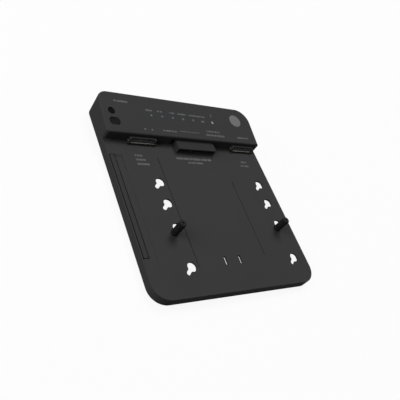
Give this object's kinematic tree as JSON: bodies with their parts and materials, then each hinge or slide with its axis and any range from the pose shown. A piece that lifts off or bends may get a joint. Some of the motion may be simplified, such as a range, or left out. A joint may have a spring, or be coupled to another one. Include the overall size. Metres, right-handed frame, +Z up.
{
  "type": "open drive dock",
  "caption": "Flat open deck with a raised control head that holds card slots, a middle drive connector, sliding posts that pin cards down, push buttons and a row of lamps.",
  "frame": {"origin": "middle of the plan, at the bottom of the rubber feet", "axes": "+Z up, +Y towards the control head at the back, +X to the right seen from the front"},
  "size_m": [0.144, 0.162, 0.0214],
  "materials": {
    "shell_plastic": "fine-grained matt moulding, charcoal",
    "strip_plastic": "matt, a shade darker than the deck",
    "foot_rubber": "soft matt rubber",
    "screw_steel": "zinc-plated steel",
    "post_steel": "blackened turned steel",
    "post_plastic": "black, satin",
    "board_laminate": "solder-masked laminate",
    "slot_plastic": "black connector moulding",
    "connector_plastic": "charcoal connector moulding",
    "contact_gold": "thin pale gold plating",
    "button_black": "smooth black",
    "button_soft": "soft matt black",
    "plunger_plastic": "natural plastic",
    "switch_plastic": "black moulding",
    "lamp_clear": "clear resin chip",
    "guide_blue": "clear, lit blue-green",
    "guide_white": "clear, lit white",
    "disc_grey": "smooth light grey",
    "socket_steel": "stamped steel",
    "tongue_plastic": "black moulding",
    "pin_steel": "plated pin",
    "chip_resin": "matt black resin",
    "can_metal": "satin can"
  },
  "bodies": {
    "dock": {"deck_tray": "shell_plastic", "head_cover": "shell_plastic", "side_strip": "strip_plastic", "rubber_feet": "foot_rubber", "cover_screws": "screw_steel", "board_screws": "screw_steel", "panel_screws": "screw_steel", "main_board": "board_laminate", "panel_board": "board_laminate", "left_card_slot": "slot_plastic", "right_card_slot": "slot_plastic", "board_link": "slot_plastic", "power_inlet": "slot_plastic", "drive_connector": "connector_plastic", "drive_contacts": "contact_gold", "left_card_contacts": "contact_gold", "right_card_contacts": "contact_gold", "board_link_pins": "contact_gold", "panel_switches": "switch_plastic", "panel_lamps": "lamp_clear", "blue_light_guide": "guide_blue", "white_light_guide": "guide_white", "top_disc": "disc_grey", "data_socket_shell": "socket_steel", "data_socket_tongue": "tongue_plastic", "power_inlet_pin": "pin_steel", "bridge_chips": "chip_resin", "power_coils": "chip_resin", "clock_crystals": "can_metal", "capacitors": "can_metal"},
    "power_button": {"power_button": "button_black", "power_plunger": "plunger_plastic"},
    "start_button": {"start_button": "button_soft", "start_plunger": "plunger_plastic"},
    "left_post": {"left_post_stud": "post_steel", "left_post_sleeve": "post_plastic"},
    "right_post": {"right_post_stud": "post_steel", "right_post_sleeve": "post_plastic"}
  },
  "joints": [
    {"name": "power_button_press", "type": "slide", "parent": "dock", "child": "power_button", "axis": [0, 0, -1], "range_m": [0, 0.0005], "stiffness_N_per_m": 1500, "springref_m": -0.0003},
    {"name": "start_button_press", "type": "slide", "parent": "dock", "child": "start_button", "axis": [0, 0, -1], "range_m": [0, 0.0005], "stiffness_N_per_m": 1500, "springref_m": -0.0003},
    {"name": "left_post_slide", "type": "slide", "parent": "dock", "child": "left_post", "axis": [0.7071, 0.7071, 0], "range_m": [0, 0.006]},
    {"name": "right_post_slide", "type": "slide", "parent": "dock", "child": "right_post", "axis": [0.7071, 0.7071, 0], "range_m": [0, 0.006]}
  ]
}
